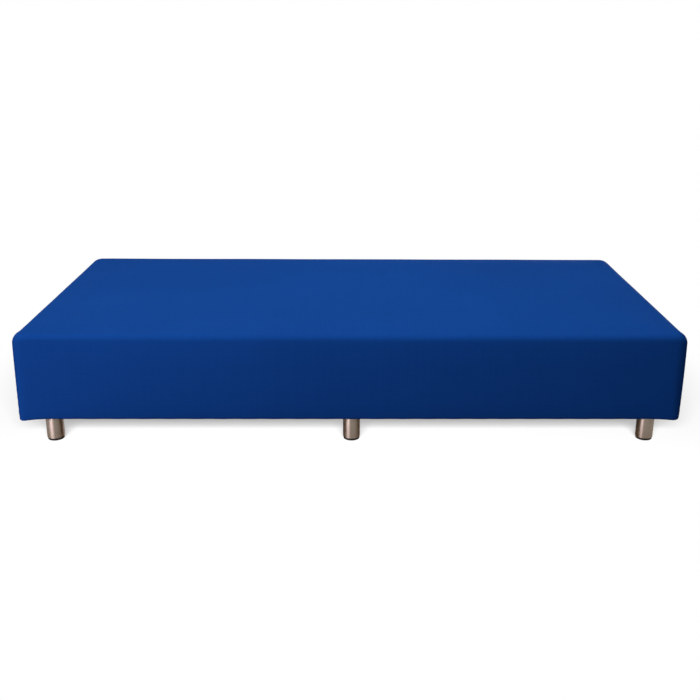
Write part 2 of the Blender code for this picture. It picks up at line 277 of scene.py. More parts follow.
paint = paint_for("floor_white")
lit = paint.node("BsdfDiffuse", {}, {"Color": (1 - FLOOR_GLOW,) * 3 + (1.0,)})
white = paint.node("Emission", {}, {"Color": WHITE, "Strength": FLOOR_GLOW})
near = paint.node("AddShader", {}, {0: lit, 1: white})
floor, pale = lay_floor("studio_floor", paint, near, FLOOR_FADE)
below = paint.node("NewGeometry", output="Backfacing")
clear = paint.node("BsdfTransparent")
paint.node("OutputMaterial", {}, {"Surface": paint.node("MixShader", {}, {0: below, 1: pale, 2: clear})})
floor.visible_diffuse = False
floor.visible_glossy = False
floor.visible_shadow = False
print(floor.name, "is white from", FLOOR_FADE[1], "m out")

# %% Lay the card that the seat sees
CARD_NEAR = (0.10, 0.058, 0.028)
CARD_FAR = (0.07, 0.042, 0.022)
CARD_REACH = 0.22
CARD_FADE = (0.5, 1.5)
BOUNCE = (0.08, 0.06, 0.06)

paint = paint_for("floor_card")
# Lighter next to the seat than further out: a painted pool of light on the card, which the legs mirror.
tone = paint.mix(away(paint, 0.0, CARD_REACH), CARD_NEAR, CARD_FAR)
near = paint.node("BsdfDiffuse", {}, {"Color": tone})
card, pale = lay_floor("studio_card", paint, near, CARD_FADE)
dull = paint.node("BsdfDiffuse", {}, {"Color": (*BOUNCE, 1.0)})
mirror = paint.node("LightPath", output="Is Glossy Ray")
paint.node("OutputMaterial", {}, {"Surface": paint.node("MixShader", {}, {0: mirror, 1: dull, 2: pale})})
card.visible_camera = False
card.visible_shadow = False
print(card.name, "is white from", CARD_FADE[1], "m out")

# %% [markdown]
# The lamps
#
# The top of the seat is lit from above, and its front from low on the left, so that it darkens to the right.
# A low lamp behind gives the legs their second edge of light. A fourth, wide and well in front, draws the
# soft narrow shadow. One lamp could light both seat and floor, but then neither could be set without the
# other. Light linking parts them: each lamp has a collection of objects that it leaves out, or alone lights.

# %% Hang the lamps
# Each lamp has a place, a point that it looks at, a width and height, a power in watts and a colour.
LAMPS = {
    "overhead_lamp": ((-0.05, -0.08, 2.6), (0.0, 0.0, 0.3), (2.2, 2.2), 45.0, (0.86, 1.0, 1.0)),
    "low_left_lamp": ((-2.1, -2.4, 0.9), (-0.5, -0.4, 0.25), (1.7, 0.5), 46.0, (1.0, 0.86, 0.95)),
    "back_lamp": ((1.5, 2.7, 0.18), (0.3, 0.3, 0.18), (1.7, 0.3), 26.0, (1.0, 0.92, 0.96)),
    "floor_lamp": ((-0.2, -5.2, 2.75), (-0.2, -0.3, 0.0), (4.0, 0.9), 680.0, (1.0, 1.0, 1.0)),
}


def softbox(name, place, aim, size, power, colour):
    deselect()
    bpy.ops.object.light_add(type="AREA", location=place)
    lamp = bpy.context.object
    lamp.name = name
    lamp.data.shape = "RECTANGLE"
    lamp.data.size, lamp.data.size_y = size
    lamp.data.energy = power
    lamp.data.color = colour
    lamp.rotation_euler = (Vector(aim) - Vector(place)).to_track_quat("-Z", "Y").to_euler()
    return lamp


def lights_floors(lamp, state):
    """Let a lamp light the two floors only, or everything but the floors."""
    lamp.light_linking.receiver_collection = bpy.data.collections.new(lamp.name + "_lights")
    for ground in (floor, card):
        lamp.light_linking.receiver_collection.objects.link(ground)
    for member in lamp.light_linking.receiver_collection.collection_objects:
        member.light_linking.link_state = state


lamps = [softbox(name, *settings) for name, settings in LAMPS.items()]
for lamp in lamps:
    lights_floors(lamp, "INCLUDE" if lamp.name == "floor_lamp" else "EXCLUDE")
print("lamps:", [lamp.name for lamp in lamps])

# %% [markdown]
# The cloth
#
# The cover is a plain weave in a strong royal blue, matt and close. A picture of cloth could be wrapped
# round the seat, but this file uses no pictures. The weave is worked out instead from the cover's own flat
# cut: two sets of round threads that pass over and under each other, each thread a little lighter or darker
# than the next, with slubs where the yarn runs thick, and slow clouds of tone over all of it.

# %% Weave the threads
THREAD = 0.0016
CUT_SPAN = 3.0

paint = paint_for("blue_weave")
cut = paint.node("UVMap", {"uv_map": "cut"})
across = paint.node("SeparateXYZ", {}, {"Vector": cut})
warp_at = across * (CUT_SPAN / THREAD)
weft_at = across.other("Y") * (CUT_SPAN / THREAD)
warp_thread = cut.maths("FLOOR", warp_at)
weft_thread = cut.maths("FLOOR", weft_at)
warp_round = cut.maths("SINE", cut.maths("FRACT", warp_at) * math.pi)
weft_round = cut.maths("SINE", cut.maths("FRACT", weft_at) * math.pi)

# Warp lies over weft at every second crossing. The large number keeps the count above zero.
over = (warp_thread + weft_thread + 10000.0) % 2.0
height = over * warp_round * (0.6 + 0.4 * weft_round)
height = height + (1 - over) * weft_round * (0.6 + 0.4 * warp_round)
print("threads", THREAD * 1000, "mm apart")

# %% Dye them blue
SLUB = (0.0022, 0.06)
BLUE = (0.0056, 0.0560, 0.2740)
DARKER, LIGHTER = 0.55, 1.45


def slubs(cut, wide, tall):
    """Streaks of thicker yarn, of this width and height on the cloth."""
    streaks = {"Vector": cut, "Scale": (CUT_SPAN / wide, CUT_SPAN / tall, 1.0)}
    return cut.paint.grain(1.0, 1.0, at=cut.paint.node("Mapping", {}, streaks))


warp_tone = paint.node("TexWhiteNoise", {"noise_dimensions": "1D"}, {"W": warp_thread + 0.3})
weft_tone = paint.node("TexWhiteNoise", {"noise_dimensions": "1D"}, {"W": weft_thread + 7.7})
tone = over * warp_tone + (1 - over) * weft_tone
yarn = over * slubs(cut, *SLUB) + (1 - over) * slubs(cut, *SLUB[::-1])
clouds = paint.grain(2.3, detail=3.0)
fuzz = paint.grain(420.0, detail=3.0, roughness=0.7)

# Each pattern moves the colour a little to either side of its own mean. The thread height paints shade into
# the weave: the crowns of the threads come out lighter and the dips between them darker.
tone_and_weave_shade = 0.5 + 0.30 * (height - 0.54) + 0.10 * (tone - 0.5) + 0.26 * (clouds - 0.5)
tone_and_weave_shade = tone_and_weave_shade + 0.16 * (fuzz - 0.5) + 0.26 * (yarn - 0.5)
# The seam mark darkens the colour along each corner seam: painted shade in the seam's valley.
seam_shade = paint.node("Attribute", {"attribute_name": "seam_shade"}, output="Fac")
dark, light = ([part * share for part in BLUE] for share in (DARKER, LIGHTER))
blue_weave = paint.surface(
    base_color=paint.mix(tone_and_weave_shade * (1 - 0.4 * seam_shade), dark, light),
    roughness=0.80 + 0.14 * fuzz,
    normal=paint.bump(height + 0.35 * fuzz, strength=0.35, distance=0.0004),
    specular_ior_level=0.01,
    sheen_weight=0.02,
    sheen_roughness=0.4,
    sheen_tint=(0.25, 0.45, 1.0, 1.0),
)
print(blue_weave.name, "has", len(blue_weave.node_tree.nodes), "nodes")

# %% [markdown]
# The cover, from flat to box
#
# The real cover is cut from one flat piece: a top with four flaps that fold down, are sewn at the corners
# and turn under the frame. A cube with loop cuts would give the same box. Here the mesh is made as the cover
# is: a grid is the top, its rim is extruded down row by row for the flaps, and then inwards for the hem. Mesh
# lines are close together near the edges, where the form turns, and further apart on the flat.


# %% Rule the top
def ruled(marks, steps):
    """Places of mesh lines between marks, about one step apart, with a step for each stretch."""
    lines = [marks[0]]
    for start, end, step in zip(marks, marks[1:], steps):
        count = max(1, round((end - start) / step))
        lines += [start + (end - start) * (i + 1) / count for i in range(count)]
    return lines


def panel(name, across, along, height):
    """A flat panel with mesh lines at these places."""
    deselect()
    columns = len(across) - 1
    rows = len(along) - 1
    bpy.ops.mesh.primitive_grid_add(x_subdivisions=columns, y_subdivisions=rows, size=1.0)
    piece = named(name)
    for point in piece.data.vertices:
        column = round((point.co.x + 0.5) * columns)
        row = round((point.co.y + 0.5) * rows)
        point.co = (across[column], along[row], height)
    return piece


CLOSE = 0.0016
FINE = 0.005
COARSE = 0.014
SEAM_BAND = 0.0096
BORDER = 0.070
CROWN = 0.005

cover_low, cover_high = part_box("seat_cover")
reach_x, reach_y = cover_high.x, cover_high.y
rim = cover_high.z - CROWN


def cover_lines(reach):
    """Mesh lines over one width of the cover: close at the seams, fine over the edges, coarse between."""
    marks = (-reach, SEAM_BAND - reach, BORDER - reach, reach - BORDER, reach - SEAM_BAND, reach)
    return ruled(marks, (CLOSE, FINE, COARSE, FINE, CLOSE))


cover = panel("seat_upholstery", cover_lines(reach_x), cover_lines(reach_y), rim)
print("top ruled into", len(cover.data.polygons), "faces")

# %% Drop its sides and turn in the hem
HEM = (0.003, 0.006, 0.010, 0.016, 0.024, 0.034, 0.045)


def select_rim():
    """In edit mode, select only the open edges of a mesh."""
    bpy.ops.mesh.select_mode(type="EDGE")
    bpy.ops.mesh.select_all(action="DESELECT")
    bpy.ops.mesh.select_non_manifold(extend=False, use_multi_face=False, use_non_contiguous=False)


def raise_by(height):
    """In edit mode, extrude what is selected straight up, or down by a height below zero."""
    bpy.ops.mesh.extrude_region_move(TRANSFORM_OT_translate={"value": (0.0, 0.0, height)})


def drop_sides(piece, heights, reach, hem=()):
    """Extrude the rim of a panel down through these heights, then in under it by these widths."""
    bpy.ops.object.mode_set(mode="EDIT")
    select_rim()
    for upper, lower in zip(heights, heights[1:]):
        raise_by(lower - upper)
    before = 0.0
    for width in hem:
        bpy.ops.mesh.extrude_region_move()
        shrink = [(side - width) / (side - before) for side in reach]
        bpy.ops.transform.resize(value=(*shrink, 1.0), center_override=(0.0, 0.0, 0.0))
        before = width
    bpy.ops.object.mode_set(mode="OBJECT")


side_rows = round((rim - cover_low.z) / FINE)
heights = [rim + (cover_low.z - rim) * row / side_rows for row in range(side_rows + 1)]
drop_sides(cover, heights, (reach_x, reach_y), HEM)
print("cover has", len(cover.data.polygons), "faces before it is rounded")

# %% [markdown]
# Rounding the box
#
# Foam rounds every edge of the seat: about 42 mm at the upright corners, less towards their foot where the
# foam is thin, 16 mm along the top of the front, 34 to 38 mm along the other top edges, and a few millimetres
# where the cloth turns under. The long sides belly out a little as well. A Bevel would round the edges, but
# it would break the even rows that the cloth simulation likes. Moving the points keeps them: each point is
# pulled along the same rows on to an arc.

# %% Turn the top and lower edges over
TOUCH = 1e-6
EASE = 0.12


def points_of(piece):
    flat = np.empty(len(piece.data.vertices) * 3)
    piece.data.vertices.foreach_get("co", flat)
    return flat.reshape(-1, 3)


def set_points(piece, points):
    piece.data.vertices.foreach_set("co", points.ravel())
    piece.data.update()


def top_radius(x, y, side_x, side_y, edges):
    """The top edge's radius by each point, easing from one side to the next."""
    front, back, left, right = edges
    end = np.where(x < 0, left, right)
    toward_end = (0.5 + ((side_y - abs(y)) - (side_x - abs(x))) / EASE).clip(0.0, 1.0)
    toward_end = toward_end * toward_end * (3 - 2 * toward_end)
    edge = np.where(y < 0, front, back)
    return edge + (end - edge) * toward_end


def turned_over(z, inward, low, top, edge, foot):
    """How far in and how high each point comes, when the top and lower edges follow their arcs."""
    path = np.where(z > top - TOUCH, -inward, top - z)
    angle = ((path + edge) / (2 * edge)).clip(0.0, 1.0) * math.pi / 2
    inset = np.where(path <= -edge, inward, edge * (1 - np.sin(angle)))
    level = top - np.where(path >= edge, path, edge * (1 - np.cos(angle)))
    on_hem = (z < low + TOUCH) & (inward > TOUCH)
    path = np.where(on_hem, -inward, z - low)
    angle = ((foot - path) / (2 * foot)).clip(0.0, 1.0) * math.pi / 2
    low_inset = np.where(path <= -foot, inward, foot * (1 - np.cos(angle)))
    inset = np.where(path < foot, low_inset, inset)
    level = np.where(path < foot, low + foot * (1 - np.sin(angle)), level)
    return inset, level


print("edges ease into each other over", EASE, "m")

# %% Swell the sides, crown the top and round the corners
DEEP = 0.1
SWELL = 0.002
CROWN_FLAT = 0.24


def round_corners(x, y, side_x, side_y, corner):
    """Squares round the centre of each upright corner become circles."""
    over_x = abs(x) - (side_x - corner)
    over_y = abs(y) - (side_y - corner)
    at_corner = (over_x > 0) & (over_y > 0)
    shrink = np.maximum(over_x, over_y) / np.hypot(over_x, over_y)
    x = np.where(at_corner, np.sign(x) * (side_x - corner + over_x * shrink), x)
    y = np.where(at_corner, np.sign(y) * (side_y - corner + over_y * shrink), y)
    return x, y


def rounded(square, low, high, corners, edges, foot, belly=0.0):
    """Points of a square-edged box, moved on to its rounded form."""
    x, y, z = square.T
    side_x, side_y, top = high[0], high[1], high[2] - CROWN
    depth = np.minimum(side_x - abs(x), side_y - abs(y)).clip(0.0)
    inward = depth.clip(0.0, DEEP)
    edge = top_radius(x, y, side_x, side_y, edges)
    inset, level = turned_over(z, inward, low[2], top, edge, foot)

    # The sides stand furthest out at half height, and the long ones belly further between the corners.
    middle = (cover_high.z + cover_low.z) / 2
    half = (cover_high.z - cover_low.z) / 2
    tall = ((level - middle) / half).clip(-1.0, 1.0)
    pull = SWELL * tall**2
    out = belly * (1 - tall**4) * (1 - (x / side_x) ** 6)
    run = side_y - CROWN_FLAT / 2 - edge
    rise = np.sin(((depth - edge) / run).clip(0.0, 1.0) * math.pi / 2)
    level = level + np.where(z > top - TOUCH, CROWN * rise, 0.0)
    x = x * (side_x - inset - pull) / (side_x - inward)
    y = y * (side_y - inset - pull + out) / (side_y - inward)

    # The upright corners are sharper towards their foot.
    share = ((level - cover_low.z) / (cover_high.z - cover_low.z)).clip(0.0, 1.0)
    sharp = np.where(x < 0, corners[1], corners[2])
    corner = sharp + (corners[0] - sharp) * share * (2 - share)
    x, y = round_corners(x, y, side_x, side_y, corner)
    return np.stack([x, y, level], axis=1)


print("sides swell by", SWELL * 1000, "mm, the top is crowned by", CROWN * 1000, "mm")

# %% Round the cover
CORNERS = (0.042, 0.024, 0.033)
EDGES = (0.016, 0.034, 0.038, 0.035)
BELLY = 0.005
FOOT = 0.008
FOOT_REACH = 0.05

square = points_of(cover)
to_x = reach_x - abs(square[:, 0])
to_y = reach_y - abs(square[:, 1])
inward = np.minimum(to_x, to_y)
from_seam = np.maximum(to_x, to_y)
foot = FOOT * (1 - 0.5 * np.exp(-((from_seam / FOOT_REACH) ** 2)))
set_points(cover, rounded(square, cover_low, cover_high, CORNERS, EDGES, foot, BELLY))
print("cover rounded, height", round(points_of(cover)[:, 2].max(), 4))

# %% [markdown]
# The cut as a UV map
#
# The weave has to follow the cloth round the edges. Blender can unwrap a mesh by itself, but the places of
# the points before they were rounded are the flat cut already: the top as it is, and each flap laid out
# beyond its own side. A corner of the box is where two flaps meet, so the map parts there, as the cloth does
# at its seam.


# %% Map the cut
def map_cut(piece, square, low, high):
    """A UV map that lays the top and the four flaps out flat, CUT_SPAN metres to the map."""
    mesh = piece.data
    corners = np.empty(len(mesh.loops), int)
    mesh.loops.foreach_get("vertex_index", corners)
    at = square[corners].reshape(-1, 4, 3)
    centre = at.mean(axis=1, keepdims=True)
    top = high[2] - CROWN
    inward = np.minimum(high[0] - abs(at[..., 0]), high[1] - abs(at[..., 1])).clip(0.0)
    on_hem = abs(centre[..., 2] - low[2]) < TOUCH
    drop = top - at[..., 2] + np.where(on_hem, inward, 0.0)
    on_top = centre[..., 2] > top - TOUCH
    on_end = ~on_top & (high[0] - abs(centre[..., 0]) < high[1] - abs(centre[..., 1]))
    on_long = ~on_top & ~on_end
    u = np.where(on_end, np.sign(centre[..., 0]) * (high[0] + drop), at[..., 0])
    v = np.where(on_long, np.sign(centre[..., 1]) * (high[1] + drop), at[..., 1])
    layer = mesh.uv_layers.new(name="cut")
    flat = np.stack([u, v], axis=-1) / CUT_SPAN + 0.5
    layer.data.foreach_set("uv", flat.astype(np.float32).ravel())


map_cut(cover, square, cover_low, cover_high)
print("cut mapped,", len(cover.data.loops), "corners")

# %% [markdown]
# Filling the cover
#
# A tight cover is pulled over springy foam, so it bellies out between its edges while its edges and corners
# stay drawn in. Sculpting could fake that, but cloth simulation finds it: the hem is pinned where it is
# stapled, pressure stands for the springy foam, and a soft pin on every other point, firmer along the edges,
# stands for the foam holding its form. A cap keeps any point from leaving the rounded form by more than a few
# millimetres, and is soft, so no flat spot shows.

# %% Set up a cloth simulation
SIM_FRAMES = 20
CLOTH = {
    "quality": 4,
    "mass": 0.15,
    "tension_stiffness": 25.0,
    "compression_stiffness": 25.0,
    "shear_stiffness": 10.0,
    "bending_stiffness": 2.0,
    "use_pressure": True,
    "uniform_pressure_force": 2.5,
    "pin_stiffness": 1.0,
}


def pin(piece, firmness):
    """A vertex group with a weight for each point, from 0, free, to 1, held."""
    group = piece.vertex_groups.new(name="held")
    for level in np.unique(firmness):
        group.add([int(i) for i in np.flatnonzero(firmness == level)], float(level), "REPLACE")
    return group.name


def fill_out(piece, firmness, cap):
    """Run pressure cloth on a piece for some frames and keep the result, softly capped."""
    cloth = piece.modifiers.new("cloth", "CLOTH")
    for name, value in CLOTH.items():
        setattr(cloth.settings, name, value)
    cloth.settings.vertex_group_mass = pin(piece, firmness)
    cloth.settings.effector_weights.gravity = 0.0
    cloth.collision_settings.use_collision = False
    before = points_of(piece)
    for frame_number in range(1, SIM_FRAMES + 1):
        scene.frame_set(frame_number)
    deselect()
    bpy.context.view_layer.objects.active = piece
    bpy.ops.object.modifier_apply(modifier=cloth.name)
    scene.frame_set(1)
    moved = points_of(piece) - before
    length = np.linalg.norm(moved, axis=1, keepdims=True).clip(1e-9)
    set_points(piece, before + moved / length * cap * np.tanh(length / cap))
    piece.vertex_groups.clear()
    return float(length.max())


print("cloth runs for", SIM_FRAMES, "frames")

# %% Fill the cover
SWELL_CAP = 0.004
FIRM_HEM, FIRM_EDGE, FIRM_FOAM = 1.0, 0.5, 0.2
HEM_BAND = 0.012
EDGE_DROP, EDGE_WIDTH = 0.03, 0.04

fallen = rim - square[:, 2]
near_edge = np.exp(-((fallen / EDGE_DROP) ** 2)) * (inward < EDGE_WIDTH)
firm = FIRM_FOAM + (FIRM_EDGE - FIRM_FOAM) * near_edge.round(1)
firm[square[:, 2] < cover_low.z + HEM_BAND] = FIRM_HEM
furthest = fill_out(cover, firm, SWELL_CAP)
print("cloth moved by up to", round(furthest * 1000, 1), "mm before the cap")

# %% [markdown]
# Seams, folds and small unevenness
#
# The four flaps are sewn together down each corner, which draws a fine valley there with slight gathers
# beside it. Under each corner the spare cloth is folded and stapled, so the lower corners hang a few
# millimetres, which the photograph shows. Along the lower edge the cloth is drawn in a little at each staple,
# and wadding is never quite even. A sculpting brush could do all this by hand. Here they are small moves of
# points, by distance from the seam, from the corner or by a slow noise, so they come out the same each time.
# They follow the simulation, which would smooth them away.

# %% Sew the corners
SEAM_DEPTH = 0.0014
SEAM_HALF = 0.0028
SEAM_START = 0.02
GATHER = 0.0004
GATHER_LENGTH = 0.021
GATHER_AT, GATHER_HALF = 0.012, 0.010

points = points_of(cover)
sewn = (fallen / SEAM_START).clip(0.0, 1.0) * (inward < SEAM_START)
ways = np.sign(square[:, :2]) / math.sqrt(2)
valley = sewn * np.exp(-((from_seam / SEAM_HALF) ** 2))
gather = sewn * np.exp(-(((from_seam - GATHER_AT) / GATHER_HALF) ** 2))
gather = gather * np.sin(2 * math.pi * square[:, 2] / GATHER_LENGTH)
points[:, :2] += ways * (GATHER * gather - SEAM_DEPTH * valley)[:, None]
# The valley is also kept on the cover as a mark that darkens the cloth's colour there: painted shade.
seam_shade_mark = cover.data.attributes.new("seam_shade", "FLOAT", "POINT")
seam_shade_mark.data.foreach_set("value", valley.astype(np.float32))
print("seams sewn, over", int((valley > 0.1).sum()), "points")

# %% Fold the corners under
FRONT_DROP, BACK_DROP = (0.0056, 0.0040), (0.0046, 0.0050)
FOLD_REACH = 0.042
FOLD_HEIGHT = 0.030
FOLD_IN, FOLD_EASE = 0.015, 0.012

low_band = ((FOLD_HEIGHT - (square[:, 2] - cover_low.z)) / FOLD_HEIGHT).clip(0.0, 1.0)
low_band = low_band * ((FOLD_IN - inward) / FOLD_EASE).clip(0.0, 1.0)
front_drop, back_drop = (np.where(square[:, 0] < 0, *drops) for drops in (FRONT_DROP, BACK_DROP))
drop = np.where(square[:, 1] < 0, front_drop, back_drop)
points[:, 2] -= drop * low_band * np.exp(-((from_seam / FOLD_REACH) ** 2))
print("lowest point of the cover", round(points[:, 2].min(), 4))

# %% Draw the cloth in at the staples, and make the wadding uneven
DRAWN = 0.0005
DRAWN_STEP = 0.074
DRAWN_FROM = 0.1
UNEVEN = 0.0006
UNEVEN_LENGTH = 0.16
UNEVEN_DROP = 0.03

on_end = to_x < to_y
along = np.where(on_end, square[:, 1], square[:, 0])
drawn = DRAWN * low_band * np.cos(2 * math.pi * along / DRAWN_STEP)
drawn = drawn * (from_seam / DRAWN_FROM).clip(0.0, 1.0)
points[:, 0] += np.where(on_end, np.sign(square[:, 0]) * drawn, 0.0)
points[:, 1] += np.where(on_end, 0.0, np.sign(square[:, 1]) * drawn)
uneven = np.array([noise.noise(Vector(point) / UNEVEN_LENGTH) for point in points])
points[:, 2] += UNEVEN * uneven * (fallen < UNEVEN_DROP)
set_points(cover, points)
print("top uneven by up to", round(UNEVEN * abs(uneven).max() * 1000, 2), "mm")

# %% [markdown]
# Thickness, and the first finished piece
#
# So far the cover is a skin with no thickness. It could stay one, but then the exported mesh would be open.
# Solidify gives it the cloth's 1.5 mm, inwards, and is applied, so that it is a closed shell. Every finished
# piece then rides a body of the CAD model and stands for the solid it replaces.


# %% Thicken the cover and hand it over
def choose(piece):
    """Select one object alone, in object mode."""
    deselect()
    bpy.context.view_layer.objects.active = piece
    piece.select_set(True)


def apply_all(piece):
    choose(piece)
    for modifier in list(piece.modifiers):
        bpy.ops.object.modifier_apply(modifier=modifier.name)


def thicken(piece, thickness):
    """Give a skin a wall, measured inwards from its outside."""
    wall = piece.modifiers.new("wall", "SOLIDIFY")
    wall.thickness = thickness
    wall.offset = -1.0
    apply_all(piece)


def hand_over(piece, body, slot, material, *nodes, angle=40):
    """Smooth a finished piece, give it its finish, and tie it to the CAD model."""
    choose(piece)
    bpy.ops.object.shade_smooth_by_angle(angle=math.radians(angle))
    piece.data.materials.clear()
    piece.data.materials.append(material)
    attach(piece, body)
    if nodes:
        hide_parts(*nodes)
    print(piece.name, "has", len(piece.data.polygons), "faces")


COVER_WALL = 0.0015
thicken(cover, COVER_WALL)
hand_over(cover, "seat", "cover_fabric", blue_weave, "seat_cover")

# %% [markdown]
# Wadding and foam
#
# Under the cover lies a skin of fibre wadding, then a foam slab on the deck and foam strips on the rails.
# They don't show on the finished seat, and could be left as they are in the CAD model. But the pieces come
# apart, so the wadding and the slab are made as the cover is, with fewer lines: a panel, sides dropped from
# it, and the same rounding. The strips only have their cut edges softened.

# %% Finish the wadding and the foam
paint = paint_for("white_fibre")
tufts = paint.grain(38.0, detail=4.0, roughness=0.65)
hairs = paint.grain(1.0, at=paint.place(900.0, 160.0, 500.0))
white_fibre = paint.surface(
    base_color=paint.mix(tufts, (0.70, 0.70, 0.68), (0.90, 0.90, 0.88)),
    roughness=0.92 + 0.06 * hairs,
    normal=paint.bump(tufts + 0.3 * hairs, strength=0.6, distance=0.002),
)

paint = paint_for("cream_foam")
cells = paint.cells(520.0)
clouds = paint.grain(9.0, detail=3.0)
cream_foam = paint.surface(
    base_color=paint.mix(0.7 * clouds + 0.5 * cells, (0.86, 0.80, 0.60), (0.66, 0.58, 0.38)),
    roughness=0.88 + 0.08 * cells,
    normal=paint.bump(cells, strength=0.5, distance=0.0008),
)
print("finishes:", white_fibre.name, cream_foam.name)

# %% Lay the wadding and the foam slab
SOFT_BORDER = 0.05
SOFT_FINE, SOFT_COARSE = 0.008, 0.030
SOFT_TURN, SOFT_ROW = 0.04, 0.02
SOFT_FLOOR = -1.0
WADDING_WALL = 0.006


def soft_form(name, node):
    """A panel with dropped sides, in the rounded form of a soft CAD node under the cover."""
    low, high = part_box(node)
    top = high.z - CROWN
    under = rim - top
    sides = (reach_x - under, reach_y - under)
    steps = (SOFT_FINE, SOFT_COARSE, SOFT_FINE)
    lines = [ruled((-side, SOFT_BORDER - side, side - SOFT_BORDER, side), steps) for side in sides]
    piece = panel(name, *lines, top)
    rows = ruled((low.z - top, -SOFT_TURN, 0.0), (SOFT_ROW, SOFT_FINE))[::-1]
    drop_sides(piece, [top + row for row in rows], sides)
    corners = [corner - under for corner in CORNERS]
    edges = [edge - under for edge in EDGES]

    # The lower edge stays square: its floor is far below, and its radius is next to nothing.
    box = ((0.0, 0.0, SOFT_FLOOR), (*sides, high.z))
    set_points(piece, rounded(points_of(piece), *box, corners, edges, TOUCH))
    return piece


wadding = soft_form("fibre_wadding", "wadding")
thicken(wadding, WADDING_WALL)
hand_over(wadding, "seat", "wadding_fibre", white_fibre, "wadding")
slab = soft_form("seat_foam_slab", "seat_foam")
bpy.ops.object.mode_set(mode="EDIT")
select_rim()
bpy.ops.mesh.edge_face_add()
hand_over(slab, "seat", "foam", cream_foam, "seat_foam")

# %% Cut the foam strips for the sides
SOFT_CUT = 0.0015
MERGE = 0.00001

for side in ("front", "back", "left", "right"):
    node = side + "_side_foam"
    strip = bpy.data.objects.new(node + "_strip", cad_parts[node].data.copy())
    scene.collection.objects.link(strip)
    choose(strip)
    bpy.ops.object.mode_set(mode="EDIT")
    bpy.ops.mesh.select_all(action="SELECT")
    bpy.ops.mesh.remove_doubles(threshold=MERGE)
    bpy.ops.mesh.dissolve_limited(angle_limit=math.radians(2))
    bpy.ops.object.mode_set(mode="OBJECT")
    soft = strip.modifiers.new("soft_edge", "BEVEL")
    soft.width = SOFT_CUT
    soft.segments = 2
    apply_all(strip)
    hand_over(strip, "seat", "foam", cream_foam, node)

# %% [markdown]
# The dust cover
#
# Underneath, a thin black cloth closes the frame. Its edge is folded once and stapled, so a border of double
# thickness runs round it, and between the rails it sags a little. The cloth is pressed from loose fibres and
# bonded in rows of small dots. A cloth simulation could find the sag, but so slight a curve is quicker as a
# smooth move of the points, and the square holes for the studs then fall between its lines.

# %% Press the black cloth
paint = paint_for("black_cloth")
dots = paint.cells(420.0)
fibres = paint.grain(1.0, detail=3.0, at=paint.place(700.0, 240.0, 300.0))
black_cloth = paint.surface(
    base_color=paint.mix(0.5 * fibres + 0.5 * dots, (0.016, 0.016, 0.017), (0.052, 0.051, 0.053)),
    roughness=0.70 + 0.2 * fibres,
    normal=paint.bump(dots + 0.4 * fibres, strength=0.4, distance=0.0003),
)
print(black_cloth.name, "has", len(black_cloth.node_tree.nodes), "nodes")

# %% Lay out the dust cover
FOLD_WIDTH, FOLD_LINE = 0.014, 0.005
STUD_ROOM = 0.007
DUST_COARSE, DUST_FINE = 0.02, 0.01
LEG_X = sum(corner.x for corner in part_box("front_right_leg")) / 2
LEG_Y = sum(corner.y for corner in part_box("back_right_leg")) / 2

dust_low, dust_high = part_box("dust_cover")
side_x, side_y = dust_high.x, dust_high.y


def both_ways(places):
    """The same mesh lines on both sides of the middle."""
    return [-place for place in places[:0:-1]] + places


marks_x = [0.0, STUD_ROOM, LEG_X - STUD_ROOM, LEG_X + STUD_ROOM, side_x - FOLD_WIDTH, side_x]
marks_y = [0.0, LEG_Y - STUD_ROOM, LEG_Y + STUD_ROOM, side_y - FOLD_WIDTH, side_y]
steps = (STUD_ROOM, DUST_COARSE, 2 * STUD_ROOM, DUST_FINE, FOLD_LINE)
lines = both_ways(ruled(marks_x, steps)), both_ways(ruled(marks_y, steps[1:]))
dust = panel("dust_cover_cloth", *lines, dust_high.z)
print("dust cover laid out,", len(dust.data.polygons), "faces")

# %% Sag it, fold its edge and round its corners
DUST_CORNER = 0.024
SAG = 0.003
SAG_FROM, SAG_RUN = 0.10, 0.30
FOLD_STEP, FOLD_SLOPE = 0.0005, 0.004

x, y, z = points_of(dust).T
inward = np.minimum(side_x - abs(x), side_y - abs(y))
hang = np.sin(((inward - SAG_FROM) / SAG_RUN).clip(0.0, 1.0) * math.pi / 2) ** 2
z = z - (SAG * hang + FOLD_STEP * ((FOLD_WIDTH - inward) / FOLD_SLOPE).clip(0.0, 1.0))
x, y = round_corners(x, y, side_x, side_y, DUST_CORNER)
set_points(dust, np.stack([x, y, z], axis=1))
print("dust cover sags to", round(z.min(), 4))


# %% Cut the stud holes and hand it over
def pick(piece, kind, test):
    """In edit mode, select only the faces or edges that pass a test on them and their middle point."""
    bpy.ops.mesh.select_mode(type=kind)
    bpy.ops.mesh.select_all(action="DESELECT")
    edit = bmesh.from_edit_mesh(piece.data)
    for part in edit.faces if kind == "FACE" else edit.edges:
        middle = sum((point.co for point in part.verts), Vector()) / len(part.verts)
        part.select_set(test(part, middle))
    bmesh.update_edit_mesh(piece.data)


def over_stud(face, middle):
    from_x = min(abs(middle.x), abs(abs(middle.x) - LEG_X))
    return max(from_x, abs(abs(middle.y) - LEG_Y)) < STUD_ROOM


choose(dust)
bpy.ops.object.mode_set(mode="EDIT")
pick(dust, "FACE", over_stud)
bpy.ops.mesh.delete(type="FACE")
bpy.ops.object.mode_set(mode="OBJECT")
thicken(dust, dust_high.z - dust_low.z)
hand_over(dust, "seat", "dust_cloth", black_cloth, "dust_cover")

# %% [markdown]
# The legs
#
# Each leg is a 50 mm tube with a plate in its top, finished as brushed nickel. A Screw modifier could spin
# the tube's section, but a cylinder shows each cut: it is inset and extruded for the bore, the plate is
# pierced for its stud, and both rims are bevelled so that they catch the light.

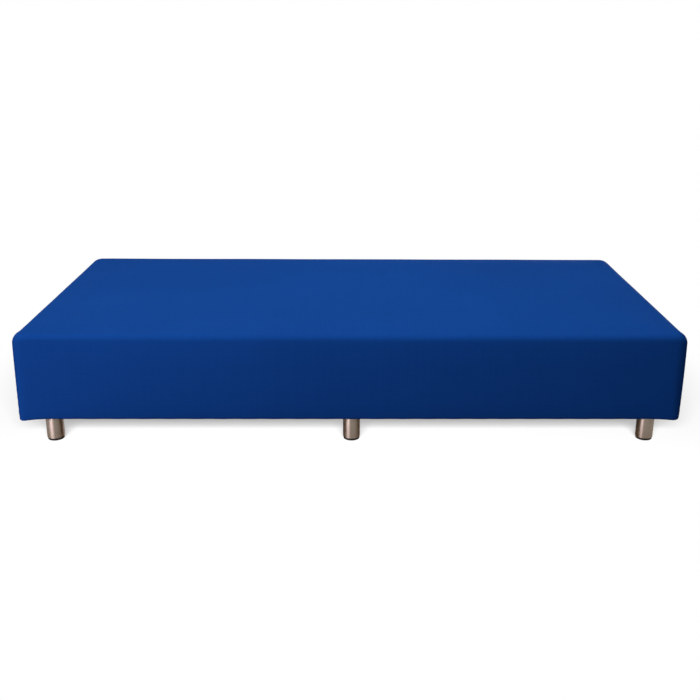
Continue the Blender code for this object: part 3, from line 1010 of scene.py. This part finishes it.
# %% Brush the nickel
paint = paint_for("brushed_nickel")
lines = paint.grain(1.0, detail=3.0, roughness=0.6, at=paint.place(26.0, 26.0, 5200.0))
bands = paint.grain(1.0, at=paint.place(9.0, 9.0, 260.0))
smudge = paint.grain(55.0, detail=3.0)
nickel = paint.surface(
    base_color=paint.mix(0.6 * lines + 0.4 * bands, (0.60, 0.522, 0.438), (0.77, 0.688, 0.598)),
    metallic=1.0,
    roughness=0.33 + 0.14 * lines + 0.10 * smudge,
    normal=paint.bump(lines, strength=0.10, distance=0.0002),
    anisotropic=0.85,
    anisotropic_rotation=0.25,
)
print(nickel.name, "has", len(nickel.node_tree.nodes), "nodes")


# %% Start from a cylinder
def settle(piece):
    """Back to object mode, with the object's place put into its mesh."""
    choose(piece)
    bpy.ops.object.transform_apply(location=True, rotation=True, scale=True)


def drum(name, low, high, sides):
    """An upright cylinder that fills a box, left in edit mode."""
    deselect()
    bpy.ops.mesh.primitive_cylinder_add(
        vertices=sides,
        radius=(high.x - low.x) / 2,
        depth=high.z - low.z,
        location=(low + high) / 2,
    )
    piece = named(name)
    settle(piece)
    bpy.ops.object.mode_set(mode="EDIT")
    return piece


TUBE_SIDES = 96
low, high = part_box("front_left_leg")
radius = (high.x - low.x) / 2
tube = drum("front_left_leg_tube", low, high, TUBE_SIDES)
print("leg starts as a drum of", round(2000 * radius), "by", round(1000 * (high.z - low.z), 1), "mm")

# %% Bore it, pierce its plate and bevel its rims
TUBE_WALL = 0.0015
PLATE = 0.005
STUD_HOLE = 0.0053
RIM_BEVEL = 0.0009


def looks_up(face, middle):
    return face.normal.z > 0.9


def looks_down(face, middle):
    return face.normal.z < -0.9


def bevel_rims(piece, low, high, reach, offset, segments):
    """Bevel the level edges at both ends of an upright box, further than a reach from its axis."""
    axis = (low + high).xy / 2

    def on_rim(edge, middle):
        ends = [point.co for point in edge.verts]
        flat = abs(ends[0].z - ends[1].z) < TOUCH
        outermost = min(middle.z - low.z, high.z - middle.z) < MERGE
        return flat and outermost and min((end.xy - axis).length for end in ends) > reach

    pick(piece, "EDGE", on_rim)
    bpy.ops.mesh.bevel(offset=offset, segments=segments, affect="EDGES")


pick(tube, "FACE", looks_down)
bpy.ops.mesh.inset(thickness=TUBE_WALL)
raise_by(high.z - low.z - PLATE)
bpy.ops.mesh.inset(thickness=radius - TUBE_WALL - STUD_HOLE)
pick(tube, "FACE", lambda face, middle: looks_up(face, middle) and len(face.verts) > 4)
bpy.ops.mesh.inset(thickness=radius - STUD_HOLE)
pick(tube, "FACE", lambda face, middle: len(face.verts) > 4)
bpy.ops.mesh.bridge_edge_loops()
bevel_rims(tube, low, high, radius - MERGE, RIM_BEVEL, segments=3)
settle(tube)
print("leg tube has", len(tube.data.polygons), "faces")

# %% Copy it to all six places
PLACES = [f"{row}_{column}" for row in ("front", "back") for column in ("left", "centre", "right")]


def copies(first, kind, suffix):
    """The first piece and five copies of it, each with its own mesh, at the six legs."""
    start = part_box(f"{PLACES[0]}_{kind}")[0]
    made = {PLACES[0]: first}
    for place in PLACES[1:]:
        piece = first.copy()
        piece.data = first.data.copy()
        piece.name = f"{place}_{suffix}"
        piece.data.name = piece.name
        piece.data.transform(Matrix.Translation(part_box(f"{place}_{kind}")[0] - start))
        scene.collection.objects.link(piece)
        made[place] = piece
    return made


for place, piece in copies(tube, "leg", "leg_tube").items():
    hand_over(piece, "seat", "leg_metal", nickel, place + "_leg", angle=30)

# %% [markdown]
# The glides
#
# A black moulded pad shows as a thin dark line under each leg. Its stem screws up into the foot of the leg,
# and when a glide is let out a few turns of thread come into view. The pad is a cylinder with softened edges,
# a lipped socket and a sole that is slightly hollow. A bump could stand for the thread, but its outline would
# stay straight, so it is a real one: a three-sided ring swept up a helix by Screw, with the joint's own
# pitch, round a plain core.


# %% Mix the plastics
def plastic_finish(name, dark, light, rough):
    paint = paint_for(name)
    mould = paint.grain(900.0)
    scuff = paint.grain(60.0, detail=4.0, roughness=0.7)
    return paint.surface(
        base_color=paint.mix(0.6 * scuff + 0.4 * mould, dark, light),
        roughness=rough + 0.2 * scuff,
        normal=paint.bump(mould, strength=0.25, distance=0.0001),
    )


black_plastic = plastic_finish("black_plastic", (0.008, 0.0075, 0.007), (0.030, 0.028, 0.026), 0.38)
grey_plastic = plastic_finish("grey_plastic", (0.035, 0.035, 0.037), (0.075, 0.075, 0.078), 0.45)
print("plastics:", black_plastic.name, grey_plastic.name)

# %% Mould the pads
PAD_SIDES = 64
MOUTH = 0.0080
LIP, LIP_WIDTH = 0.0008, 0.0005
SOCKET_DEPTH = 0.0028
SOLE_RINGS = (0.004, 0.003)
SOLE_HOLLOW = 0.0004

low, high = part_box("front_left_glide_pad")
radius = (high.x - low.x) / 2
pad = drum("front_left_glide_foot", low, high, PAD_SIDES)
pick(pad, "FACE", looks_up)
bpy.ops.mesh.inset(thickness=radius - MOUTH)
raise_by(-LIP)
bpy.ops.mesh.inset(thickness=LIP_WIDTH)
raise_by(-SOCKET_DEPTH)
pick(pad, "FACE", looks_down)
for width in SOLE_RINGS:
    bpy.ops.mesh.inset(thickness=width)
raise_by(SOLE_HOLLOW)
bevel_rims(pad, low, high, radius - MERGE, RIM_BEVEL, segments=3)
settle(pad)
for place, piece in copies(pad, "glide_pad", "glide_foot").items():
    hand_over(piece, place + "_glide", "glide_plastic", black_plastic, place + "_glide_pad", angle=30)

# %% Plate the steel
paint = paint_for("zinc_steel")
spangle = paint.cells(320.0)
haze = paint.grain(140.0, detail=3.0)
zinc = paint.surface(
    base_color=paint.mix(0.5 * spangle + 0.5 * haze, (0.48, 0.49, 0.52), (0.74, 0.74, 0.73)),
    metallic=1.0,
    roughness=0.26 + 0.2 * haze,
    normal=paint.bump(haze, strength=0.08, distance=0.0002),
)
print(zinc.name, "has", len(zinc.node_tree.nodes), "nodes")

# %% Wind the thread
PITCH = 0.0015
ROOT, CREST = 0.0043, 0.0050
SUNK = 0.0002
HEAD = 0.0022
RUN_OUT = 0.002
TURN_STEPS = 24

low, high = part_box("front_left_glide_stem")
deselect()
bpy.ops.mesh.primitive_circle_add(vertices=3, radius=PITCH / 2, fill_type="NOTHING")
thread = named("glide_thread")
profile = ((ROOT - SUNK, 0.0), (CREST, PITCH * 0.46), (ROOT - SUNK, PITCH * 0.92))
for point, (out, up) in zip(thread.data.vertices, profile):
    point.co = (out, 0.0, up)
screw = thread.modifiers.new("helix", "SCREW")
screw.axis = "Z"
screw.angle = 2 * math.pi
screw.screw_offset = PITCH
screw.iterations = int((high.z - low.z - HEAD - RUN_OUT) / PITCH)
screw.steps = TURN_STEPS
screw.render_steps = TURN_STEPS
screw.use_merge_vertices = True
screw.merge_threshold = MERGE
apply_all(thread)
bpy.ops.object.mode_set(mode="EDIT")
bpy.ops.mesh.select_all(action="SELECT")
bpy.ops.mesh.remove_doubles(threshold=MERGE)
bpy.ops.mesh.fill_holes(sides=3)
bpy.ops.mesh.select_all(action="SELECT")
bpy.ops.mesh.normals_make_consistent(inside=False)
bpy.ops.object.mode_set(mode="OBJECT")
axis = (low + high) / 2
thread.data.transform(Matrix.Translation((axis.x, axis.y, low.z + HEAD + SUNK)))
print("thread has", len(thread.data.polygons), "faces")

# %% Join the thread to its core and head
STEM_SIDES = 32
STEM_BEVEL = 0.0004

stem = drum("front_left_glide_screw", low, high, STEM_SIDES)
pick(stem, "FACE", looks_up)
bpy.ops.transform.translate(value=(0.0, 0.0, low.z + HEAD - high.z))
bpy.ops.mesh.inset(thickness=(high.x - low.x) / 2 - ROOT)
raise_by(high.z - low.z - HEAD)
bevel_rims(stem, low, high, ROOT - SUNK / 2, STEM_BEVEL, segments=2)
settle(stem)
thread.select_set(True)
bpy.context.view_layer.objects.active = stem
bpy.ops.object.join()
for place, piece in copies(stem, "glide_stem", "glide_screw").items():
    hand_over(piece, place + "_screw", "fixing_steel", zinc, place + "_glide_stem", angle=35)

# %% [markdown]
# Staples
#
# The dust cover is held by a row of staples along its folded edge. An Array would repeat one along a line,
# but here the line has four sides. One staple is a small bar with its two ends turned up into the rail; it is
# modelled once, copied round the edge, and the copies are joined into one piece.

# %% Bend one staple
STAPLE_WIDTH = 0.010
STAPLE_WIRE = 0.0010
STAPLE_FLAT = 0.6
STAPLE_LEG = 0.0035

deselect()
bpy.ops.mesh.primitive_cube_add(size=1.0, scale=(STAPLE_WIDTH, STAPLE_WIRE, STAPLE_WIRE * STAPLE_FLAT))
staple = named("staple")
settle(staple)
bpy.ops.object.mode_set(mode="EDIT")
bend = STAPLE_WIDTH / 2 - STAPLE_WIRE
for side in (-1, 1):
    bpy.ops.mesh.select_all(action="SELECT")
    bpy.ops.mesh.bisect(plane_co=(side * bend, 0.0, 0.0), plane_no=(1.0, 0.0, 0.0))
pick(staple, "FACE", lambda face, middle: looks_up(face, middle) and abs(middle.x) > bend)
raise_by(STAPLE_LEG)
bpy.ops.object.mode_set(mode="OBJECT")
print("one staple has", len(staple.data.polygons), "faces")

# %% Drive the staples round the edge
STAPLE_GAP = 0.058
STAPLE_CORNER = 0.03
STAPLE_BED = 0.25

spots = []
inset = FOLD_WIDTH / 2
for along, across, angle in ((side_x, side_y, 0.0), (side_y, side_x, math.pi / 2)):
    count = round(2 * (along - STAPLE_CORNER) / STAPLE_GAP)
    for i in range(count + 1):
        step = (along - STAPLE_CORNER) * (2 * i / count - 1)
        for way in (-1, 1):
            flat = (step, way * (across - inset)) if angle == 0.0 else (way * (across - inset), step)
            spots.append((*flat, angle))
level = dust_low.z - FOLD_STEP - STAPLE_WIRE * STAPLE_BED
row = bmesh.new()
for x, y, angle in spots:
    start = len(row.verts)
    row.from_mesh(staple.data)
    row.verts.ensure_lookup_table()
    move = Matrix.Translation((x, y, level)) @ Matrix.Rotation(angle, 4, "Z")
    bmesh.ops.transform(row, matrix=move, verts=row.verts[start:])
row.to_mesh(staple.data)
row.free()
staple.name = "dust_cover_staples"
hand_over(staple, "seat", "fixing_steel", zinc)
print(len(spots), "staples driven")

# %% [markdown]
# Timber, plywood and the fixings inside
#
# The frame, the deck and the fixings could be modelled again, but their CAD shapes are right, and only need
# a finish. Wood is rings pulled out along the board, so each board's grain runs along its own length. Plywood
# shows its layers on the edges. The studs, which stay hidden, get their thread from a bump, close to their
# axis only.

# %% Saw the timber and the plywood
PLY = 0.0015


def timber_finish(name, *stretch):
    paint = paint_for(name)
    where = paint.place(*stretch)
    wander = paint.grain(5.0, detail=3.0, at=where)
    rings = wander.maths("SINE", wander * 60.0) * 0.5 + 0.5
    pores = paint.grain(160.0, detail=3.0, roughness=0.7, at=where)
    return paint.surface(
        base_color=paint.mix(0.55 * rings + 0.45 * pores, (0.74, 0.58, 0.37), (0.50, 0.34, 0.18)),
        roughness=0.60 + 0.2 * pores,
        normal=paint.bump(rings * 0.4 + pores, strength=0.2, distance=0.0004),
    )


lengthways = timber_finish("timber_along", 1.0, 12.0, 12.0)
crossways = timber_finish("timber_across", 12.0, 1.0, 12.0)

paint = paint_for("deck_plywood")
figure = paint.grain(3.0, detail=4.0, roughness=0.6, at=paint.place(1.0, 14.0, 1.0))
pores = paint.grain(1.0, at=paint.place(30.0, 900.0, 30.0))
height = paint.node("SeparateXYZ", {}, {"Vector": paint.place()}, "Z")
plies = height.maths("SINE", height * (math.pi / PLY)) * 0.5 + 0.5
face = paint.mix(0.7 * figure + 0.3 * pores, (0.74, 0.58, 0.38), (0.52, 0.37, 0.21))
plywood = paint.surface(
    base_color=paint.mix(0.35 * plies, face, (0.36, 0.24, 0.13)),
    roughness=0.58 + 0.2 * figure,
    normal=paint.bump(figure + 0.5 * pores, strength=0.15, distance=0.0004),
)
print("wood finishes:", lengthways.name, crossways.name, plywood.name)

# %% Thread the studs
STUD_REACH = 0.0056

paint = paint_for("stud_steel")
x = paint.node("SeparateXYZ", {}, {"Vector": paint.place()})
y = x.other("Y")
z = x.other("Z")
from_x = x - x.maths("ROUND", x / LEG_X) * LEG_X
from_y = y.maths("ABSOLUTE", y) - LEG_Y
out = x.maths("SQRT", from_x * from_x + from_y * from_y)
near = out.maths("LESS_THAN", out, STUD_REACH)
ridge = z.maths("PINGPONG", z, PITCH / 2) / (PITCH / 2)
haze = paint.grain(140.0, detail=3.0)
stud_steel = paint.surface(
    base_color=paint.mix(haze, (0.46, 0.47, 0.50), (0.74, 0.74, 0.73)),
    metallic=1.0,
    roughness=0.28 + 0.2 * haze,
    normal=paint.bump(ridge * near, strength=0.8, distance=0.0008),
)
print(stud_steel.name, "has", len(stud_steel.node_tree.nodes), "nodes")

# %% Finish the CAD nodes that stay
STAYING = (
    ("rail", ("front", "back"), lengthways),
    ("end_rail", ("left", "right"), crossways),
    ("cross_rail", ("left", "centre", "right"), crossways),
    ("deck_panel", ("left", "right"), plywood),
    ("leg_block", PLACES, lengthways),
    ("leg_stud", PLACES, stud_steel),
    ("tee_nut", PLACES, zinc),
    ("leg_plug", PLACES, grey_plastic),
)
for kind, places, material in STAYING:
    for place in places:
        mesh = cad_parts[f"{place}_{kind}"].data
        mesh.materials.clear()
        mesh.materials.append(material)
    print(len(places), kind, "in", material.name)

# %% [markdown]
# Measuring up
#
# The dressed seat may stand a little proud of its CAD model, as cloth does. The two could be compared by
# eye from the side, but numbers don't tire. Both boxes are printed in each run.

# %% Write the sizes and finish
low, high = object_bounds()
print("visual box", [round(side, 4) for side in high - low])
